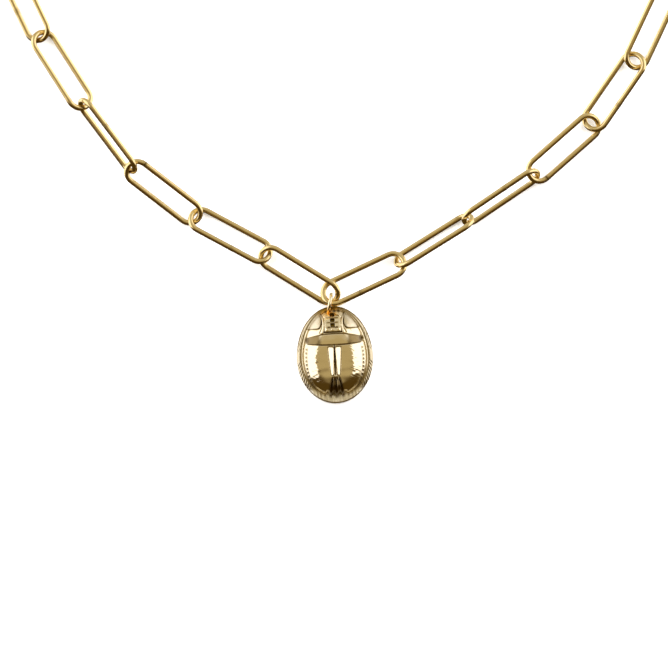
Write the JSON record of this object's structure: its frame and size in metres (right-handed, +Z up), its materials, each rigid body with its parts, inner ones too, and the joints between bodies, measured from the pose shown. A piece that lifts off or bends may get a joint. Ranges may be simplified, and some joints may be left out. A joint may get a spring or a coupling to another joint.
{
  "type": "scarab pendant necklace",
  "caption": "Domed beetle-shaped pendant with a carved back, hung by a small ring from a closed chain of long oval wire links with a hook clasp, lying flat.",
  "frame": {"origin": "on the pendant's flat back, at the middle of its widest line, on the surface that the necklace lies on", "axes": "+Z up out of the surface, +Y from the pendant towards the back of the neck, +X to the right of someone looking down at the pendant's carved side"},
  "size_m": [0.1266, 0.1614, 0.0054],
  "materials": {
    "pendant_gold": "polished pale gold plate",
    "chain_gold": "polished pale gold plate",
    "clasp_gold": "polished pale gold plate"
  },
  "bodies": {
    "root": {"scarab_pendant": "pendant_gold", "hook_clasp": "clasp_gold", "chain_link_left_01": "chain_gold", "chain_link_left_02": "chain_gold", "chain_link_left_03": "chain_gold", "chain_link_left_04": "chain_gold", "chain_link_left_05": "chain_gold", "chain_link_left_06": "chain_gold", "chain_link_left_07": "chain_gold", "chain_link_left_08": "chain_gold", "chain_link_left_09": "chain_gold", "chain_link_left_10": "chain_gold", "chain_link_left_11": "chain_gold", "chain_link_left_12": "chain_gold", "chain_link_left_13": "chain_gold", "chain_link_left_14": "chain_gold", "chain_link_left_15": "chain_gold", "chain_link_right_01": "chain_gold", "chain_link_right_02": "chain_gold", "chain_link_right_03": "chain_gold", "chain_link_right_04": "chain_gold", "chain_link_right_05": "chain_gold", "chain_link_right_06": "chain_gold", "chain_link_right_07": "chain_gold", "chain_link_right_08": "chain_gold", "chain_link_right_09": "chain_gold", "chain_link_right_10": "chain_gold", "chain_link_right_11": "chain_gold", "chain_link_right_12": "chain_gold", "chain_link_right_13": "chain_gold", "chain_link_right_14": "chain_gold", "chain_link_right_15": "chain_gold"}
  },
  "joints": []
}
